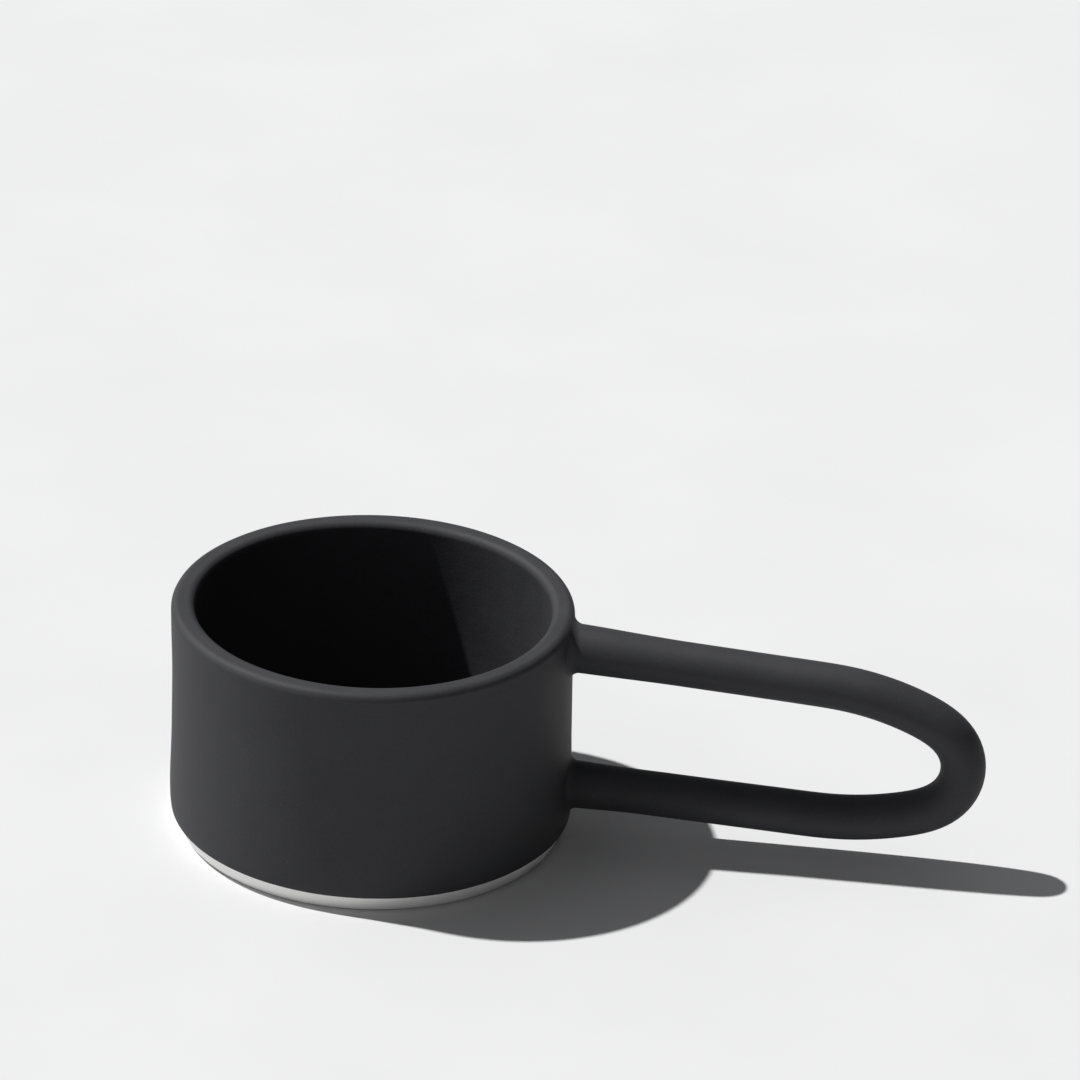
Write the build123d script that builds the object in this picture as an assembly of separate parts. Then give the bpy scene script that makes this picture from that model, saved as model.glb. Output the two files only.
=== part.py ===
from build123d import *
import math
import os

# A low, wide drinking mug in glazed porcelain, with one long loop handle rolled from a coil of clay.
# Lengths are in millimetres and angles in degrees. The origin is the middle of the foot, on the
# surface that the mug stands on. +Z is up the cup's axis, and the handle runs out along +X.

# The cup, measured over its glaze
cup_diameter = 90.0
cup_height = 54.0
wall_thickness = 5.3
floor_thickness = 6.0
lip_outer_round = 1.8
lip_inner_round = 1.8
inner_corner_round = 6.0

# The foot, which is left bare and draws in towards the surface
foot_height = 3.9
foot_bevel = 1.6

# The glaze is one even coat
glaze_thickness = 0.4

# The handle, measured over its glaze. Its middle line leaves the cup along the upper run, falls
# through the shoulder, turns back at the tip, and returns through the heel to the lower run. Both
# runs slope down away from the cup.
coil_diameter = 10.0
upper_root_height = 47.0
upper_run_length = 58.5
upper_run_slope = 3.8
shoulder_radius = 55.0
shoulder_turn = 26.5
tip_radius = 12.0
tip_turn = 130.0
heel_radius = 65.0
lower_run_slope = 2.5

# The soft clay worked around each end of the coil
joint_fillet = 2.0
collar_length = 3.0

# Worked out from the sizes above
cup_radius = cup_diameter / 2
bare_radius = cup_radius - glaze_thickness
bore_radius = cup_radius - wall_thickness
bare_floor_height = floor_thickness - glaze_thickness
lip_crest_radius = (cup_radius - lip_outer_round + bore_radius + lip_inner_round) / 2
coil_radius = coil_diameter / 2
bare_coil_radius = coil_radius - glaze_thickness
bare_fillet = joint_fillet + glaze_thickness
heel_turn = 180 - upper_run_slope + lower_run_slope - shoulder_turn - tip_turn

# The handle's middle line, as X and height
upper_out = Vector(math.cos(math.radians(upper_run_slope)), -math.sin(math.radians(upper_run_slope)))
lower_out = Vector(math.cos(math.radians(lower_run_slope)), -math.sin(math.radians(lower_run_slope)))
upper_root = Vector(cup_radius, upper_root_height)
upper_run = Line(upper_root + upper_out * collar_length, upper_root + upper_out * upper_run_length)
shoulder = JernArc(upper_run @ 1, upper_run % 1, shoulder_radius, -shoulder_turn)
tip = JernArc(shoulder @ 1, shoulder % 1, tip_radius, -tip_turn)
heel = JernArc(tip @ 1, tip % 1, heel_radius, -heel_turn)
lower_root = heel @ 1 - lower_out * (((heel @ 1).X - cup_radius) / lower_out.X)
lower_run = Line(heel @ 1, lower_root + lower_out * collar_length)
middle_line = Plane.XZ * Wire([upper_run, shoulder, tip, heel, lower_run])


def turned(outline):
    """Turn a closed half outline, drawn as radius and height, once around the cup's axis."""
    return revolve(make_face(Plane.XZ * outline), axis=Axis.Z)


def lip_outline(cover):
    """Lip, inside wall and floor, drawn in by cover from the glazed surface, down to the axis."""
    top = cup_height - cover
    outside = cup_radius - cover
    inside = bore_radius + cover
    floor = floor_thickness - cover
    lip_out = lip_outer_round - cover
    lip_in = lip_inner_round - cover
    corner = inner_corner_round + cover
    outer_arc = JernArc((outside, top - lip_out), (0, 1), lip_out, 90)
    crest = Line(outer_arc @ 1, (inside + lip_in, top))
    inner_arc = JernArc(crest @ 1, (-1, 0), lip_in, 90)
    inside_wall = Line(inner_arc @ 1, (inside, floor + corner))
    corner_arc = JernArc(inside_wall @ 1, (0, -1), corner, -90)
    inside_floor = Line(corner_arc @ 1, (0, floor))
    return [outer_arc, crest, inner_arc, inside_wall, corner_arc, inside_floor]


def glazed_cup():
    """The cup over its glaze, from the glaze line up."""
    edges = lip_outline(0)
    base = Polyline((0, floor_thickness), (0, foot_height), (cup_radius, foot_height), edges[0] @ 0)
    return turned(Curve() + edges + base)


def bare_cup():
    """The cup's clay body, with its bevelled foot."""
    edges = lip_outline(glaze_thickness)
    base = Polyline(
        (0, bare_floor_height),
        (0, 0),
        (bare_radius - foot_bevel, 0),
        (bare_radius, foot_height),
        edges[0] @ 0,
    )
    return turned(Curve() + edges + base)


def plug(cover):
    """The outside of the cup without its hollow, drawn in by cover, with its seam at the back."""
    height = cup_height - cover
    body = Pos(0, 0, height / 2) * Rot(Z=180) * Cylinder(cup_radius - cover, height)
    return fillet(body.edges().sort_by(Axis.Z)[-1], lip_outer_round - cover)


def worked_end(root, out, cover, round_size):
    """One end of the coil, blended into the cup with a fillet, without the cup itself."""
    cup = plug(cover)
    length = collar_length + wall_thickness / 2
    rod_frame = Plane(origin=(root.X, 0, root.Y), z_dir=(out.X, 0, out.Y))
    rod = rod_frame * Pos(0, 0, collar_length - length / 2) * Cylinder(coil_radius - cover, length)
    joined = cup + rod
    return fillet(joined.edges().filter_by(GeomType.BSPLINE), round_size) - cup


def along_handle(section):
    """Sweep a flat section along the handle's middle line, from collar to collar."""
    return sweep(Plane(origin=middle_line @ 0, z_dir=middle_line % 0) * section, path=middle_line)


bare = bare_cup()
coat = glazed_cup() - bare
slab_space = Pos(0, 0, bare_floor_height / 2) * Cylinder(cup_diameter, bare_floor_height)
lip_space = Pos(0, 0, cup_height / 2) * Cylinder(lip_crest_radius, 2 * cup_height)

upper_collar = worked_end(upper_root, upper_out, glaze_thickness, bare_fillet)
lower_collar = worked_end(lower_root, lower_out, glaze_thickness, bare_fillet)
upper_coat = worked_end(upper_root, upper_out, 0, joint_fillet) - upper_collar
lower_coat = worked_end(lower_root, lower_out, 0, joint_fillet) - lower_collar
coil_coat = along_handle(Circle(coil_radius) - Circle(bare_coil_radius))

parts = {
    "cup_wall": bare - slab_space,
    "base_slab": bare & slab_space,
    "handle_coil": along_handle(Circle(bare_coil_radius)),
    "upper_joint_collar": upper_collar,
    "lower_joint_collar": lower_collar,
    "outer_glaze": coat - lip_space - upper_collar - lower_collar,
    "liner_glaze": coat & lip_space,
    "handle_glaze": coil_coat + upper_coat + lower_coat,
}

os.makedirs("parts", exist_ok=True)
for name, shape in parts.items():
    export_step(shape, f"parts/{name}.step")
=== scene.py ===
import math

import bmesh
import bpy
from mathutils import Matrix, Vector


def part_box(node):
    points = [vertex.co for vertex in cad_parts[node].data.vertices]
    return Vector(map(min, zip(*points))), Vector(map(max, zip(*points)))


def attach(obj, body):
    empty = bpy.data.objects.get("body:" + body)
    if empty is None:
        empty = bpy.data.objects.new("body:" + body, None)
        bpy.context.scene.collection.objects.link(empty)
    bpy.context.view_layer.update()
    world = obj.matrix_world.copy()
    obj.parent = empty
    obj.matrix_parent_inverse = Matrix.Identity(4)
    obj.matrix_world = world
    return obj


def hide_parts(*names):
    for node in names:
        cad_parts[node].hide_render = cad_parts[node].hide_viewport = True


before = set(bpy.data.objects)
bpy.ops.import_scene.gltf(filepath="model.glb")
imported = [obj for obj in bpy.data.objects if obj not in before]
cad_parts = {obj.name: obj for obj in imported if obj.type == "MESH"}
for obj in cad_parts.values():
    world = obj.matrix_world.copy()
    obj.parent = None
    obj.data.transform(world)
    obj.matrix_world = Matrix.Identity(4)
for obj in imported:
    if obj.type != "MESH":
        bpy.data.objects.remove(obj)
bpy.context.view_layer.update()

# A low black mug with a bare white foot and one long loop handle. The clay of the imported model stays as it
# is, under its glaze. The glaze coats and the foot are made again here, finer and a little hand-made.

mm = 0.001
glazeLow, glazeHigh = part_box("outer_glaze")
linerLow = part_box("liner_glaze")[0]
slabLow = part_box("base_slab")[0]

cup = {
    "radius": -glazeLow.x,
    "bareRadius": -slabLow.x,
    "height": glazeHigh.z,
    "glazeLine": glazeLow.z,
    "bareFloor": linerLow.z,  # top of the clay under the liner
    "wall": 5.3 * mm,
    "lipRound": 1.8 * mm,
    "innerRound": 1.8 * mm,
    "cornerRound": 6.0 * mm,
    "waist": -0.18 * mm,  # the wall draws in a little above its middle
    "waistHeight": 38 * mm,
    "belly": 0.4 * mm,  # and swells a little above the foot
    "bellyHeight": 9 * mm,
    "swell": 9 * mm,  # how far each of the two reaches up and down
    "tuck": 0.1 * mm,  # the wall turns in to the glaze line
    "tuckHeight": 2 * mm,
    "bead": 0.25 * mm,  # rounded edge of the glaze at the foot
    "edgeWave": 0.5 * mm,  # how far the glaze line may wander up and down
    "segments": 288,
}
cup["glaze"] = cup["radius"] - cup["bareRadius"]
cup["floor"] = cup["bareFloor"] + cup["glaze"]
cup["bore"] = cup["radius"] - cup["wall"]
cup["crest"] = cup["radius"] - cup["wall"] / 2 - (cup["lipRound"] - cup["innerRound"]) / 2


# small helpers


def eased(t):
    t = min(max(t, 0.0), 1.0)
    return t * t * (3 - 2 * t)


def bump(t):
    return math.exp(-t * t)


def arc(centre, radius, start, end, steps):
    # points on a round stretch, both ends left out, angles in degrees from outwards
    points = []
    for i in range(1, steps):
        angle = math.radians(start + (end - start) * i / steps)
        points.append((centre[0] + radius * math.cos(angle), centre[1] + radius * math.sin(angle)))
    return points


def run(start, end, step):
    # points from start up to, but not with, end
    count = max(1, round(math.dist(start, end) / step))
    return [
        (start[0] + (end[0] - start[0]) * i / count, start[1] + (end[1] - start[1]) * i / count)
        for i in range(count)
    ]


def put(tree, kind, inputs=None, **settings):
    # adds a node, sets it up, and links or fills its inputs
    node = tree.nodes.new(kind)
    for name, value in settings.items():
        setattr(node, name, value)
    for name, value in (inputs or {}).items():
        if isinstance(value, bpy.types.NodeSocket):
            tree.links.new(value, node.inputs[name])
        else:
            node.inputs[name].default_value = value
    return node


def sums(tree, operation, a, b=0.0, c=0.0):
    return put(tree, "ShaderNodeMath", {0: a, 1: b, 2: c}, operation=operation).outputs[0]


def wireObject(name, points, closed):
    # a bare line of edges, for a Geometry Nodes tree to turn or sweep
    edges = [(i, i + 1) for i in range(len(points) - 1)]
    if closed:
        edges.append((len(points) - 1, 0))
    mesh = bpy.data.meshes.new(name)
    mesh.from_pydata(points, edges, [])
    wire = bpy.data.objects.new(name, mesh)
    bpy.context.scene.collection.objects.link(wire)
    return wire


def startTree(name, inputs):
    tree = bpy.data.node_groups.new(name, "GeometryNodeTree")
    tree.interface.new_socket("Geometry", in_out="INPUT", socket_type="NodeSocketGeometry")
    for label, kind in inputs:
        tree.interface.new_socket(label, in_out="INPUT", socket_type="NodeSocket" + kind)
    tree.interface.new_socket("Geometry", in_out="OUTPUT", socket_type="NodeSocketGeometry")
    return tree, tree.nodes.new("NodeGroupInput").outputs


def endTree(tree, geometry, material):
    smooth = put(tree, "GeometryNodeSetShadeSmooth", {"Geometry": geometry})
    real = put(tree, "GeometryNodeRealizeInstances", {"Geometry": smooth.outputs[0]})
    painted = put(tree, "GeometryNodeSetMaterial", {"Geometry": real.outputs[0], "Material": material})
    put(tree, "NodeGroupOutput", {0: painted.outputs[0]})


def grow(thing, tree, values):
    # runs a tree on an object and leaves the result as its plain mesh
    modifier = thing.modifiers.new(tree.name, "NODES")
    modifier.node_group = tree
    for item in tree.interface.items_tree:
        if item.item_type == "SOCKET" and item.in_out == "INPUT" and item.name in values:
            modifier[item.identifier] = values[item.name]
    thing.update_tag()
    bpy.context.view_layer.update()
    depsgraph = bpy.context.evaluated_depsgraph_get()
    mesh = bpy.data.meshes.new_from_object(thing.evaluated_get(depsgraph))
    thing.modifiers.clear()
    old = thing.data
    thing.data = mesh
    bpy.data.meshes.remove(old)
    mesh.name = thing.name
    mesh.materials.clear()
    mesh.materials.append(values["Material"])
    return thing


def tidyShell(thing, join=0.005 * mm, crease=40):
    # merges doubles, turns faces outwards, and keeps real corners crisp
    work = bmesh.new()
    work.from_mesh(thing.data)
    bmesh.ops.remove_doubles(work, verts=work.verts, dist=join)
    bmesh.ops.dissolve_degenerate(work, edges=work.edges, dist=join / 10)
    bmesh.ops.recalc_face_normals(work, faces=work.faces)
    openEdges = sum(1 for edge in work.edges if len(edge.link_faces) != 2)
    work.to_mesh(thing.data)
    work.free()
    thing.data.shade_smooth()
    thing.data.set_sharp_from_angle(angle=math.radians(crease))
    print(thing.name, len(thing.data.polygons), "faces,", openEdges, "open edges")


# materials


def newMaterial(name):
    material = bpy.data.materials.new(name)
    material.use_nodes = True
    tree = material.node_tree
    tree.nodes.clear()
    shader = put(tree, "ShaderNodeBsdfPrincipled")
    put(tree, "ShaderNodeOutputMaterial", {"Surface": shader.outputs[0]})
    place = put(tree, "ShaderNodeTexCoord").outputs["Object"]
    return material, tree, shader, place


def noise(tree, place, size, detail, rough=0.5):
    # soft noise whose features are about size across
    return put(
        tree,
        "ShaderNodeTexNoise",
        {"Vector": place, "Scale": 1 / size, "Detail": detail, "Roughness": rough},
    ).outputs["Fac"]


def spread(tree, value, low, high, fromLow=0.3, fromHigh=0.7):
    return put(
        tree,
        "ShaderNodeMapRange",
        {"Value": value, "From Min": fromLow, "From Max": fromHigh, "To Min": low, "To Max": high},
    ).outputs[0]


def tint(tree, factor, first, second):
    mixed = put(tree, "ShaderNodeMix", {0: factor}, data_type="RGBA")
    mixed.inputs[6].default_value = (*first, 1)
    mixed.inputs[7].default_value = (*second, 1)
    return mixed.outputs[2]


def emboss(tree, shader, height):
    relief = put(tree, "ShaderNodeBump", {"Height": height, "Distance": 1.0, "Strength": 1.0})
    tree.links.new(relief.outputs[0], shader.inputs["Normal"])


def blackGlaze():
    look = {
        "dark": (0.0280, 0.0282, 0.0310),
        "light": (0.0370, 0.0373, 0.0410),
        "speck": (0.060, 0.060, 0.064),
        "cloud": 11 * mm,  # soft clouds where the coat is thicker or thinner
        "grain": 0.5 * mm,  # eggshell grain
        "pit": 2.1 * mm,  # spacing of the tiny pinholes
        "pitRound": (0.035, 0.075),  # a pinhole's flat and its edge, as shares of that spacing
        "pitRare": (0.52, 0.6),  # the noise between which pinholes set in
        "swell": 4.5 * mm,  # long soft waves in the coat
        "grainHeight": 0.035 * mm,
        "swellHeight": 0.05 * mm,
        "pitDepth": 0.07 * mm,
        "grainMottle": 0.45,  # how far the grain lightens and darkens the coat
        "cloudMottle": (0.2, 0.8),
        "rough": (0.64, 0.70),
        "grainRough": 0.04,
        "gloss": 0.28,
    }
    material, tree, shader, place = newMaterial("matt black glaze")
    clouds = noise(tree, place, look["cloud"], 4)
    grain = noise(tree, place, look["grain"], 3, 0.6)
    swell = noise(tree, place, look["swell"], 2)
    grainMottle = spread(tree, grain, -look["grainMottle"], look["grainMottle"])
    mottle = sums(tree, "ADD", grainMottle, spread(tree, clouds, *look["cloudMottle"]))
    base = tint(tree, mottle, look["dark"], look["light"])
    cells = put(tree, "ShaderNodeTexVoronoi", {"Vector": place, "Scale": 1 / look["pit"]})
    pinhole = spread(tree, cells.outputs["Distance"], 1, 0, *look["pitRound"])
    rare = spread(tree, noise(tree, place, look["pit"] * 4, 1), 0, 1, *look["pitRare"])
    pinhole = sums(tree, "MULTIPLY", pinhole, rare)
    speckled = put(tree, "ShaderNodeMix", {0: pinhole, 6: base}, data_type="RGBA")
    speckled.inputs[7].default_value = (*look["speck"], 1)
    tree.links.new(speckled.outputs[2], shader.inputs["Base Color"])
    grainRough = spread(tree, grain, -look["grainRough"], look["grainRough"])
    rough = sums(tree, "ADD", spread(tree, clouds, *look["rough"]), grainRough)
    tree.links.new(rough, shader.inputs["Roughness"])
    shader.inputs["Specular IOR Level"].default_value = look["gloss"]
    height = sums(tree, "MULTIPLY", grain, look["grainHeight"])
    height = sums(tree, "MULTIPLY_ADD", swell, look["swellHeight"], height)
    height = sums(tree, "MULTIPLY_ADD", pinhole, -look["pitDepth"], height)
    emboss(tree, shader, height)
    return material


def barePorcelain():
    look = {
        "white": (0.92, 0.915, 0.905),
        "warm": (0.89, 0.88, 0.86),
        "fleck": (0.42, 0.37, 0.31),
        "cloud": 8 * mm,
        "grain": 0.25 * mm,  # unglazed clay, sanded fine
        "fleckSpacing": 3.2 * mm,
        "fleckRound": (0.02, 0.05),  # a fleck's flat and its edge, as shares of that spacing
        "fleckStrength": 0.7,
        "grainHeight": 0.012 * mm,
        "rough": (0.68, 0.82),
        "gloss": 0.35,
    }
    material, tree, shader, place = newMaterial("bare porcelain")
    clouds = noise(tree, place, look["cloud"], 4)
    grain = noise(tree, place, look["grain"], 4, 0.65)
    base = tint(tree, spread(tree, clouds, 0, 1), look["white"], look["warm"])
    cells = put(tree, "ShaderNodeTexVoronoi", {"Vector": place, "Scale": 1 / look["fleckSpacing"]})
    fleck = spread(tree, cells.outputs["Distance"], look["fleckStrength"], 0, *look["fleckRound"])
    flecked = put(tree, "ShaderNodeMix", {0: fleck, 6: base}, data_type="RGBA")
    flecked.inputs[7].default_value = (*look["fleck"], 1)
    tree.links.new(flecked.outputs[2], shader.inputs["Base Color"])
    tree.links.new(spread(tree, grain, *look["rough"]), shader.inputs["Roughness"])
    shader.inputs["Specular IOR Level"].default_value = look["gloss"]
    emboss(tree, shader, sums(tree, "MULTIPLY", grain, look["grainHeight"]))
    return material


def paleFloor():
    look = {
        "light": (0.625, 0.625, 0.625),
        "shade": (0.605, 0.605, 0.605),
        "cloud": 60 * mm,
        "rough": 0.8,
        "gloss": 0.2,
    }
    material, tree, shader, place = newMaterial("pale floor")
    clouds = noise(tree, place, look["cloud"], 3)
    base = tint(tree, spread(tree, clouds, 0, 1), look["light"], look["shade"])
    tree.links.new(base, shader.inputs["Base Color"])
    shader.inputs["Roughness"].default_value = look["rough"]
    shader.inputs["Specular IOR Level"].default_value = look["gloss"]
    return material


glaze = blackGlaze()
porcelain = barePorcelain()
print("materials made")

# the wheel: turns an outline round the cup's axis, with the throwing lines that a finger leaves


def wheelTree():
    tree, given = startTree(
        "turned on the wheel",
        [
            ("Segments", "Int"),
            ("Path Radius", "Float"),
            ("Line Pitch", "Float"),
            ("Line Depth", "Float"),
            ("Line Height", "Float"),
            ("Line Reach", "Float"),
            ("Line Drift", "Float"),
            ("Drift Size", "Float"),
            ("Edge Height", "Float"),
            ("Edge Reach", "Float"),
            ("Edge Wave", "Float"),
            ("Edge Detail", "Float"),
            ("Seed", "Float"),
            ("Material", "Material"),
        ],
    )
    outline = put(tree, "GeometryNodeMeshToCurve", {"Mesh": given["Geometry"]})
    circle = put(
        tree,
        "GeometryNodeCurvePrimitiveCircle",
        {"Resolution": given["Segments"], "Radius": given["Path Radius"]},
    )
    upright = put(tree, "GeometryNodeSetCurveNormal", {"Curve": circle.outputs[0]}, mode="Z_UP")
    turned = put(
        tree,
        "GeometryNodeCurveToMesh",
        {"Curve": upright.outputs[0], "Profile Curve": outline.outputs[0]},
    )
    closed = put(
        tree,
        "GeometryNodeMergeByDistance",
        {"Geometry": turned.outputs[0], "Distance": 0.004 * mm},
    )

    place = put(tree, "GeometryNodeInputPosition").outputs[0]
    parts = put(tree, "ShaderNodeSeparateXYZ", {0: place}).outputs
    flat = put(tree, "ShaderNodeCombineXYZ", {"X": parts["X"], "Y": parts["Y"]}).outputs[0]
    outwards = put(tree, "ShaderNodeVectorMath", {0: flat}, operation="NORMALIZE").outputs[0]
    angle = sums(tree, "DIVIDE", sums(tree, "ARCTAN2", parts["Y"], parts["X"]), math.tau)

    drift = put(
        tree,
        "ShaderNodeTexNoise",
        {
            "Vector": place,
            "W": given["Seed"],
            "Scale": sums(tree, "DIVIDE", 1.0, given["Drift Size"]),
            "Detail": 1.0,
        },
        noise_dimensions="4D",
    ).outputs[0]
    phase = sums(tree, "ADD", sums(tree, "DIVIDE", parts["Z"], given["Line Pitch"]), angle)
    phase = sums(tree, "MULTIPLY_ADD", drift, given["Line Drift"], phase)
    ripple = sums(tree, "SINE", sums(tree, "MULTIPLY", phase, math.tau))
    away = sums(tree, "ABSOLUTE", sums(tree, "SUBTRACT", parts["Z"], given["Line Height"]))
    fade = put(
        tree,
        "ShaderNodeMapRange",
        {"Value": away, "From Min": 0.0, "From Max": given["Line Reach"], "To Min": 1.0, "To Max": 0.0},
        interpolation_type="SMOOTHSTEP",
    ).outputs[0]
    depth = sums(tree, "MULTIPLY", sums(tree, "MULTIPLY", ripple, fade), given["Line Depth"])
    push = put(tree, "ShaderNodeVectorMath", {0: outwards, "Scale": depth}, operation="SCALE").outputs[0]
    lined = put(tree, "GeometryNodeSetPosition", {"Geometry": closed.outputs[0], "Offset": push})

    edgeNoise = put(
        tree,
        "ShaderNodeTexNoise",
        {"Vector": outwards, "W": given["Seed"], "Scale": given["Edge Detail"], "Detail": 2.0},
        noise_dimensions="4D",
    ).outputs[0]
    wave = sums(tree, "MULTIPLY", sums(tree, "SUBTRACT", edgeNoise, 0.5), given["Edge Wave"])
    above = sums(tree, "SUBTRACT", parts["Z"], given["Edge Height"])
    hold = put(
        tree,
        "ShaderNodeMapRange",
        {"Value": above, "From Min": 0.0, "From Max": given["Edge Reach"], "To Min": 1.0, "To Max": 0.0},
        interpolation_type="SMOOTHSTEP",
    ).outputs[0]
    lift = put(tree, "ShaderNodeCombineXYZ", {"Z": sums(tree, "MULTIPLY", wave, hold)}).outputs[0]
    waved = put(tree, "GeometryNodeSetPosition", {"Geometry": lined.outputs[0], "Offset": lift})
    endTree(tree, waved.outputs[0], given["Material"])
    return tree


# the rolled coil: a round rod along the handle's middle line, hollow where the clay is


def coilTree():
    tree, given = startTree(
        "rolled coil",
        [
            ("Coat Radius", "Float"),
            ("Clay Radius", "Float"),
            ("Round Segments", "Int"),
            ("Start Swell", "Float"),
            ("Start Reach", "Float"),
            ("End Swell", "Float"),
            ("End Reach", "Float"),
            ("Collar", "Float"),
            ("Material", "Material"),
        ],
    )
    line = put(tree, "GeometryNodeMeshToCurve", {"Mesh": given["Geometry"]}).outputs[0]
    walked = put(tree, "GeometryNodeSplineParameter").outputs["Length"]
    whole = put(tree, "GeometryNodeCurveLength", {"Curve": line}).outputs[0]
    extra = []
    for side, way in (("Start", walked), ("End", sums(tree, "SUBTRACT", whole, walked))):
        extra.append(
            put(
                tree,
                "ShaderNodeMapRange",
                {
                    "Value": sums(tree, "ADD", way, given["Collar"]),
                    "From Min": 0.0,
                    "From Max": given[side + " Reach"],
                    "To Min": given[side + " Swell"],
                    "To Max": 0.0,
                },
                interpolation_type="SMOOTHSTEP",
            ).outputs[0]
        )
    swell = sums(tree, "DIVIDE", sums(tree, "ADD", extra[0], extra[1]), given["Coat Radius"])
    skins = []
    for label, scale in (("Coat Radius", sums(tree, "ADD", swell, 1.0)), ("Clay Radius", 1.0)):
        ring = put(
            tree,
            "GeometryNodeCurvePrimitiveCircle",
            {"Resolution": given["Round Segments"], "Radius": given[label]},
        )
        skin = put(
            tree,
            "GeometryNodeCurveToMesh",
            {"Curve": line, "Profile Curve": ring.outputs[0], "Scale": scale},
        )
        skins.append(skin.outputs[0])
    both = put(tree, "GeometryNodeJoinGeometry")
    for skin in skins:
        tree.links.new(skin, both.inputs[0])
    endTree(tree, both.outputs[0], given["Material"])
    return tree


# the hand: a slow unevenness that every soft surface gets, the same at the same place on every piece


def handTree():
    tree, given = startTree(
        "made by hand",
        [
            ("Amount", "Float"),
            ("Size", "Float"),
            ("Flat Height", "Float"),
            ("Lean", "Vector"),
            ("Lean Height", "Float"),
            ("Lean Inner", "Float"),
            ("Lean Outer", "Float"),
            ("Lean Fade", "Float"),
            ("Seed", "Float"),
            ("Material", "Material"),
        ],
    )
    place = put(tree, "GeometryNodeInputPosition").outputs[0]
    parts = put(tree, "ShaderNodeSeparateXYZ", {0: place}).outputs
    height = parts["Z"]
    soft = put(
        tree,
        "ShaderNodeTexNoise",
        {
            "Vector": place,
            "W": given["Seed"],
            "Scale": sums(tree, "DIVIDE", 1.0, given["Size"]),
            "Detail": 1.0,
        },
        noise_dimensions="4D",
    ).outputs["Color"]
    middle = (0.5, 0.5, 0.5)
    centred = put(tree, "ShaderNodeVectorMath", {0: soft, 1: middle}, operation="SUBTRACT").outputs[0]
    above = put(
        tree,
        "ShaderNodeMapRange",
        {"Value": height, "From Min": 0.0, "From Max": given["Flat Height"], "To Min": 0.0, "To Max": 1.0},
        interpolation_type="SMOOTHSTEP",
    ).outputs[0]
    reach = sums(tree, "MULTIPLY", above, given["Amount"])
    move = put(tree, "ShaderNodeVectorMath", {0: centred, "Scale": reach}, operation="SCALE").outputs[0]

    # the outside of the cup leans a little about its upper part, and the handle stays where it is
    flat = put(tree, "ShaderNodeCombineXYZ", {"X": parts["X"], "Y": parts["Y"]}).outputs[0]
    out = put(tree, "ShaderNodeVectorMath", {0: flat}, operation="LENGTH").outputs["Value"]
    quarter = sums(tree, "MULTIPLY", given["Lean Fade"], 0.25)
    innerEnd = sums(tree, "ADD", given["Lean Inner"], quarter)
    outerEnd = sums(tree, "ADD", given["Lean Outer"], given["Lean Fade"])
    weights = []
    for start, end, first, last in (
        (given["Lean Inner"], innerEnd, 0.0, 1.0),
        (given["Lean Outer"], outerEnd, 1.0, 0.0),
    ):
        weights.append(
            put(
                tree,
                "ShaderNodeMapRange",
                {"Value": out, "From Min": start, "From Max": end, "To Min": first, "To Max": last},
                interpolation_type="SMOOTHSTEP",
            ).outputs[0]
        )
    low = sums(tree, "SUBTRACT", 1.0, sums(tree, "DIVIDE", height, given["Lean Height"]))
    weight = sums(tree, "MULTIPLY", low, sums(tree, "MULTIPLY", weights[0], weights[1]))
    lean = {0: given["Lean"], "Scale": weight}
    tilt = put(tree, "ShaderNodeVectorMath", lean, operation="SCALE").outputs[0]
    both = put(tree, "ShaderNodeVectorMath", {0: move, 1: tilt}, operation="ADD").outputs[0]
    moved = put(tree, "GeometryNodeSetPosition", {"Geometry": given["Geometry"], "Offset": both})
    endTree(tree, moved.outputs[0], given["Material"])
    return tree


wheel = wheelTree()
rolling = coilTree()
hand = handTree()
touch = {
    "Amount": 0.32 * mm,
    "Size": 38 * mm,
    "Flat Height": 9 * mm,  # true at the surface that the mug stands on, and full from here up
    "Lean": (0.5 * mm, -0.35 * mm, 0.0),  # how far the foot end of the wall is pushed over
    "Lean Height": 42 * mm,  # where the wall stays in place
    "Lean Inner": 40.5 * mm,  # the lean holds between these two distances from the axis
    "Lean Outer": 47 * mm,
    "Lean Fade": 12 * mm,
    "Seed": 4.0,
}
print("trees made")

# the cup


def wallBulge(z):
    waist = cup["waist"] * bump((z - cup["waistHeight"]) / cup["swell"])
    belly = cup["belly"] * bump((z - cup["bellyHeight"]) / cup["swell"])
    tuck = cup["tuck"] * (1 - eased((z - cup["glazeLine"]) / cup["tuckHeight"]))
    return waist + belly - tuck


def outerOutline():
    # radius and height of the outside coat: up the wall, over the lip to its crest, and back down the clay
    top = cup["height"]
    lip = cup["lipRound"]
    line = cup["glazeLine"]
    bead = cup["bead"]
    step = 0.4 * mm
    lipCentre = (cup["radius"] - lip, top - lip)
    clayLip = lip - cup["glaze"]
    edge = cup["radius"] + wallBulge(line) - bead
    points = [(cup["bareRadius"], line), (edge, line)]
    points += arc((edge, line + bead), bead, -90, 0, 6)
    wall = run((edge + bead, line + bead), (edge + bead, top - lip), step)
    points += [(cup["radius"] + wallBulge(z), z) for _, z in wall]
    points += [(cup["radius"], top - lip)]
    points += arc(lipCentre, lip, 0, 90, 20)
    points += run((lipCentre[0], top), (cup["crest"], top), step)
    points += [(cup["crest"], top), (cup["crest"], top - cup["glaze"])]
    points += [(lipCentre[0], top - cup["glaze"])]
    points += arc(lipCentre, clayLip, 90, 0, 10)
    points += run((cup["bareRadius"], top - lip), (cup["bareRadius"], line), 4 * step)
    return points


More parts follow.
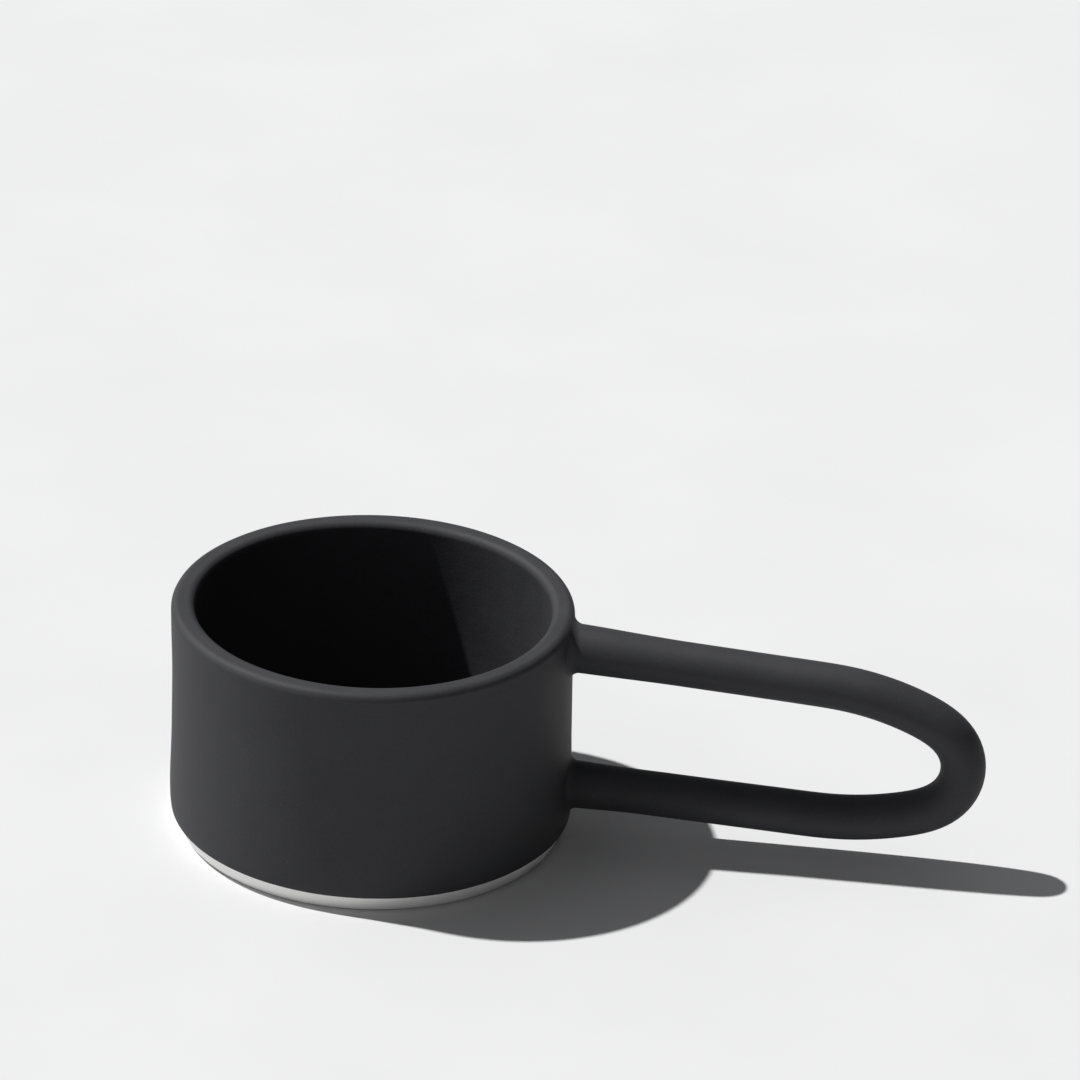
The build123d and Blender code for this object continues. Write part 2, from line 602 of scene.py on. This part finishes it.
def linerOutline():
    # the inside coat: from the middle of the floor, up the bore to the crest, and back under it
    top = cup["height"]
    lip = cup["innerRound"]
    corner = cup["cornerRound"]
    coat = cup["glaze"]
    step = 0.6 * mm
    lipCentre = (cup["bore"] + lip, top - lip)
    cornerCentre = (cup["bore"] - corner, cup["floor"] + corner)
    points = run((0, cup["floor"]), (cornerCentre[0], cup["floor"]), step)
    points += [(cornerCentre[0], cup["floor"])]
    points += arc(cornerCentre, corner, -90, 0, 16)
    points += run((cup["bore"], cornerCentre[1]), (cup["bore"], lipCentre[1]), step)
    points += [(cup["bore"], lipCentre[1])]
    points += arc(lipCentre, lip, 180, 90, 20)
    points += run((lipCentre[0], top), (cup["crest"], top), step)
    points += [(cup["crest"], top), (cup["crest"], top - coat)]
    points += [(lipCentre[0], top - coat)]
    points += arc(lipCentre, lip - coat, 90, 180, 10)
    points += run((cup["bore"] + coat, lipCentre[1]), (cup["bore"] + coat, cornerCentre[1]), 4 * step)
    points += [(cup["bore"] + coat, cornerCentre[1])]
    points += arc(cornerCentre, corner + coat, 0, -90, 10)
    points += run((cornerCentre[0], cup["bareFloor"]), (0, cup["bareFloor"]), 4 * step)
    points += [(0, cup["bareFloor"])]
    return points


turning = {
    "Segments": cup["segments"],
    "Path Radius": cup["radius"],
    "Line Drift": 1.5,  # turns by which the throwing lines stray
    "Drift Size": 25 * mm,
    "Edge Height": cup["glazeLine"],
    "Edge Reach": 5 * mm,  # how far up the wall the glaze line's waves reach
    "Edge Detail": 1.6,
}


def turn(name, outline, closed, coat, node, lines, edgeWave):
    flat = [(radius - cup["radius"], -height, 0) for radius, height in outline]
    piece = wireObject(name, flat, closed)
    values = {
        **turning,
        "Line Pitch": lines["pitch"],
        "Line Depth": lines["depth"],
        "Line Height": lines["height"],
        "Line Reach": lines["reach"],
        "Edge Wave": edgeWave,
        "Seed": lines["seed"],
        "Material": coat,
    }
    grow(piece, wheel, values)
    grow(piece, hand, {**touch, "Material": coat})
    tidyShell(piece)
    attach(piece, "root")
    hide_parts(node)
    return piece


outerLines = {"pitch": 1.2 * mm, "depth": 0.018 * mm, "height": 49.5 * mm, "reach": 8 * mm, "seed": 2.0}
linerLines = {"pitch": 3.4 * mm, "depth": 0.006 * mm, "height": 24 * mm, "reach": 26 * mm, "seed": 7.0}
wave = cup["edgeWave"]
turn("outerGlazeCoat", outerOutline(), True, glaze, "outer_glaze", outerLines, wave)
turn("linerGlazeCoat", linerOutline(), False, glaze, "liner_glaze", linerLines, 0.0)
print("cup glazed")

# the foot

foot = {
    "bevel": 1.4 * mm,
    "edgeRound": 0.5 * mm,
    "hollow": 0.25 * mm,  # turned a little hollow, so that it stands on its rim
    "standing": 5 * mm,  # width of that rim
    "ridges": 11,  # turning marks on the underside
    "ridgeDepth": 0.03 * mm,
    "hollowEase": 4 * mm,  # from the standing rim in to the full hollow
    "ridgeEase": 2 * mm,
    "step": 0.4 * mm,
}


def footOutline():
    # from the middle of the underside out to the bevel, up to the glaze line, and in over the slab
    line = cup["glazeLine"]
    bare = cup["bareRadius"]
    rim = bare - foot["bevel"]
    inner = rim - foot["standing"]
    slope = math.degrees(math.atan2(foot["bevel"], line))
    centreRadius = rim - foot["edgeRound"] * math.tan(math.radians(45 - slope / 2))
    points = []
    for radius, _ in run((0, 0), (inner, 0), foot["step"]):
        ridge = foot["ridgeDepth"] * math.cos(math.tau * foot["ridges"] * radius / inner)
        hollow = (foot["hollow"] - foot["ridgeDepth"]) * eased((inner - radius) / foot["hollowEase"])
        points.append((radius, hollow + ridge * eased((inner - radius) / foot["ridgeEase"])))
    points += run((inner, 0), (centreRadius, 0), 1 * mm)
    points += [(centreRadius, 0)]
    points += arc((centreRadius, foot["edgeRound"]), foot["edgeRound"], -90, -slope, 8)
    lift = foot["edgeRound"] * (1 - math.sin(math.radians(slope)))
    start = (centreRadius + foot["edgeRound"] * math.cos(math.radians(slope)), lift)
    points += run(start, (bare, line), foot["step"])
    points += run((bare, line), (bare, cup["bareFloor"]), foot["step"])
    points += run((bare, cup["bareFloor"]), (0, cup["bareFloor"]), 3 * mm)
    points += [(0, cup["bareFloor"])]
    return points


footLines = {"pitch": 1.1 * mm, "depth": 0.008 * mm, "height": 3 * mm, "reach": 4 * mm, "seed": 9.0}
turn("bareFootSlab", footOutline(), False, porcelain, "base_slab", footLines, 0.0)
print("foot made")

# the handle

handle = {
    "rootHeight": 47.05 * mm,
    "coilRadius": 5.05 * mm,
    "clayRadius": 4.6 * mm,
    "upperSlope": 3.7,  # degrees down, away from the cup
    "lowerSlope": 2.5,
    "run": 57.9 * mm,  # straight, before the shoulder
    "shoulder": (58.8 * mm, 25.5),  # radius and degrees of each bend
    "tip": (11.6 * mm, 131.8),
    "heel": 68.0 * mm,
    "easing": 14 * mm,  # how far one bend runs into the next
    "step": 0.1 * mm,
    "ringEvery": 11,  # steps from one ring of the coil to the next
    "around": 96,
    "collar": 4.5 * mm,
    "upperSwell": (0.4 * mm, 26 * mm),  # the coil is this much thicker at the cup, and how far that reaches
    "lowerSwell": (0.3 * mm, 16 * mm),
    "upperFillet": (2.4 * mm, 0.3 * mm),  # size at the sides, and how much more above and less below
    "lowerFillet": (1.8 * mm, 0.1 * mm),
    "filletSteps": 12,
    "bury": 0.25 * mm,  # the fillet's edge runs this far under the cup's coat
    "buryInside": 0.4 * mm,  # and this far where it meets the clay
    "closeIn": 40,  # halvings that find where a fillet touches the cup
}


def handleLine():
    # walks the middle line from the upper wall to the lower one, easing from bend to bend
    shoulderRadius, shoulderTurn = handle["shoulder"]
    tipRadius, tipTurn = handle["tip"]
    heelTurn = 180 - handle["upperSlope"] + handle["lowerSlope"] - shoulderTurn - tipTurn
    bends = [0, 1 / shoulderRadius, 1 / tipRadius, 1 / handle["heel"], 0]
    lengths = [
        handle["run"],
        shoulderRadius * math.radians(shoulderTurn),
        tipRadius * math.radians(tipTurn),
        handle["heel"] * math.radians(heelTurn),
    ]
    place = Vector((cup["radius"], 0, handle["rootHeight"]))
    heading = -math.radians(handle["upperSlope"])
    points = [place.copy()]
    along = 0.0
    while place.x > cup["radius"] or along < handle["run"]:
        bend = 0.0
        mark = 0.0
        for i, length in enumerate(lengths):
            mark += length
            bend += (bends[i + 1] - bends[i]) * eased((along - mark) / handle["easing"] + 0.5)
        heading -= bend * handle["step"]
        place += Vector((math.cos(heading), 0, math.sin(heading))) * handle["step"]
        along += handle["step"]
        points.append(place.copy())
    return points


def coatDistance(point):
    # how far a point stands off the cup's outside coat
    around = math.hypot(point.x, point.y) - wallBulge(point.z)
    lip = cup["lipRound"]
    if point.z > cup["height"] - lip:
        return math.hypot(around - cup["radius"] + lip, point.z - cup["height"] + lip) - lip
    return around - cup["radius"]


def workedEnd(root, out, fillet, swell):
    # rings of one end of the coat, from under the cup's coat, up the fillet and onto the coil
    side = Vector((0, 1, 0))
    up = out.cross(side)
    if up.z < 0:
        up = -up
    tiny = 0.01 * mm
    bury = handle["bury"]
    end = -math.pi / 2
    rings = []
    for i in range(handle["around"]):
        angle = math.tau * i / handle["around"]
        across = side * math.cos(angle) + up * math.sin(angle)
        size = fillet[0] + fillet[1] * math.sin(angle)
        rise = handle["coilRadius"] + swell[0] + size

        def spot(along, away):
            return root + out * along + across * away

        low, high = -10 * mm, 10 * mm  # the fillet's centre, along the coil, lies between
        for _ in range(handle["closeIn"]):
            middle = (low + high) / 2
            if coatDistance(spot(middle, rise)) < size:
                low = middle
            else:
                high = middle
        here = coatDistance(spot(low, rise))
        slopeOut = (coatDistance(spot(low + tiny, rise)) - here) / tiny
        slopeAway = (coatDistance(spot(low, rise + tiny)) - here) / tiny
        start = math.atan2(-slopeAway, -slopeOut)
        if start > 0:
            start -= math.tau
        touchAlong = low + size * math.cos(start)
        touchAway = rise + size * math.sin(start)
        column = [
            spot(touchAlong - handle["buryInside"], handle["clayRadius"]),
            spot(
                touchAlong + bury * (math.cos(start) + math.sin(start)),
                touchAway + bury * (math.sin(start) - math.cos(start)),
            ),
        ]
        for step in range(handle["filletSteps"] + 1):
            turnBy = start + (end - start) * step / handle["filletSteps"]
            column.append(spot(low + size * math.cos(turnBy), rise + size * math.sin(turnBy)))
        late = 1 - eased(handle["collar"] / swell[1])
        column.append(spot(handle["collar"], handle["coilRadius"] + swell[0] * late))
        column.append(spot(handle["collar"], handle["clayRadius"]))
        rings.append(column)
    return rings


def addEnd(work, rings):
    # the far side of the rings stays open, and the coil's own ends close it
    grid = [[work.verts.new(point) for point in column] for column in rings]
    count = len(grid)
    last = len(grid[0]) - 1
    for i in range(count):
        one, other = grid[i], grid[(i + 1) % count]
        for j in range(last - 1):
            work.faces.new((one[j], one[j + 1], other[j + 1], other[j]))
        work.faces.new((one[last], one[0], other[0], other[last]))  # the inside, against the clay


def handleCoat():
    line = handleLine()
    upperOut = (line[1] - line[0]).normalized()
    lowerOut = (line[-2] - line[-1]).normalized()
    skip = round(handle["collar"] / handle["step"])
    inner = line[skip : -skip : handle["ringEvery"]]
    inner[0] = line[0] + upperOut * handle["collar"]
    inner.append(line[-1] + lowerOut * handle["collar"])
    piece = wireObject("handleGlazeCoat", inner, False)
    values = {
        "Coat Radius": handle["coilRadius"],
        "Clay Radius": handle["clayRadius"],
        "Round Segments": handle["around"],
        "Start Swell": handle["upperSwell"][0],
        "Start Reach": handle["upperSwell"][1],
        "End Swell": handle["lowerSwell"][0],
        "End Reach": handle["lowerSwell"][1],
        "Collar": handle["collar"],
        "Material": glaze,
    }
    grow(piece, rolling, values)
    work = bmesh.new()
    work.from_mesh(piece.data)
    addEnd(work, workedEnd(line[0], upperOut, handle["upperFillet"], handle["upperSwell"]))
    addEnd(work, workedEnd(line[-1], lowerOut, handle["lowerFillet"], handle["lowerSwell"]))
    work.to_mesh(piece.data)
    work.free()
    grow(piece, hand, {**touch, "Material": glaze})
    tidyShell(piece, join=0.02 * mm)
    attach(piece, "root")
    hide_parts("handle_glaze")
    return piece


handleCoat()
print("handle glazed")

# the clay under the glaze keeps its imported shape

for node in ("cup_wall", "handle_coil", "upper_joint_collar", "lower_joint_collar"):
    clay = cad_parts[node]
    clay.data.materials.clear()
    clay.data.materials.append(porcelain)
print("clay fired")

# floor, light and camera

stage = {
    "size": 8.0,
    "sunTravel": (0.549, -0.097, -0.830),
    "sunStrength": 4.6,
    "sunWidth": 1.3,  # degrees
    "sky": (0.196, 0.198, 0.204),
    "skySide": (-0.96, 0.15, 0.0),  # the side that the sky is brighter on, and by how much
}


def makeFloor():
    half = stage["size"] / 2
    mesh = bpy.data.meshes.new("floor")
    corners = [(-half, -half, 0), (half, -half, 0), (half, half, 0), (-half, half, 0)]
    mesh.from_pydata(corners, [], [(0, 1, 2, 3)])
    floor = bpy.data.objects.new("floor", mesh)
    mesh.materials.append(paleFloor())
    bpy.context.scene.collection.objects.link(floor)


def makeLight():
    sun = bpy.data.lights.new("window", "SUN")
    sun.energy = stage["sunStrength"]
    sun.angle = math.radians(stage["sunWidth"])
    lamp = bpy.data.objects.new("window", sun)
    lamp.rotation_euler = Vector(stage["sunTravel"]).to_track_quat("-Z", "Y").to_euler()
    bpy.context.scene.collection.objects.link(lamp)
    world = bpy.data.worlds.new("room")
    world.use_nodes = True
    tree = world.node_tree
    background = tree.nodes["Background"]
    background.inputs["Color"].default_value = (*stage["sky"], 1)
    way = put(tree, "ShaderNodeTexCoord").outputs["Generated"]
    side = put(tree, "ShaderNodeVectorMath", {0: way, 1: stage["skySide"]}, operation="DOT_PRODUCT")
    tree.links.new(sums(tree, "ADD", side.outputs["Value"], 1.0), background.inputs["Strength"])
    bpy.context.scene.world = world
    bpy.context.scene.view_settings.view_transform = "Standard"


view = {
    "aim": (34.24 * mm, 21.15 * mm, 62.39 * mm),
    "azimuth": 6.62,
    "elevation": 26.42,
    "roll": 2.138,
    "distance": 1348 * mm,
    "lens": 200,
    "sensor": 36,
    "nearest": 50 * mm,
}


def makeCamera():
    azimuth, elevation = math.radians(view["azimuth"]), math.radians(view["elevation"])
    back = Vector(
        (
            math.sin(azimuth) * math.cos(elevation),
            -math.cos(azimuth) * math.cos(elevation),
            math.sin(elevation),
        )
    )
    data = bpy.data.cameras.new("camera")
    data.lens = view["lens"]
    data.sensor_width = view["sensor"]
    data.clip_start = view["nearest"]
    camera = bpy.data.objects.new("camera", data)
    level = (-back).to_track_quat("-Z", "Y").to_matrix().to_4x4()
    roll = Matrix.Rotation(math.radians(view["roll"]), 4, "Z")
    camera.matrix_world = Matrix.Translation(Vector(view["aim"]) + back * view["distance"]) @ level @ roll
    bpy.context.scene.collection.objects.link(camera)
    bpy.context.scene.camera = camera


makeFloor()
makeLight()
makeCamera()
print("stage set")
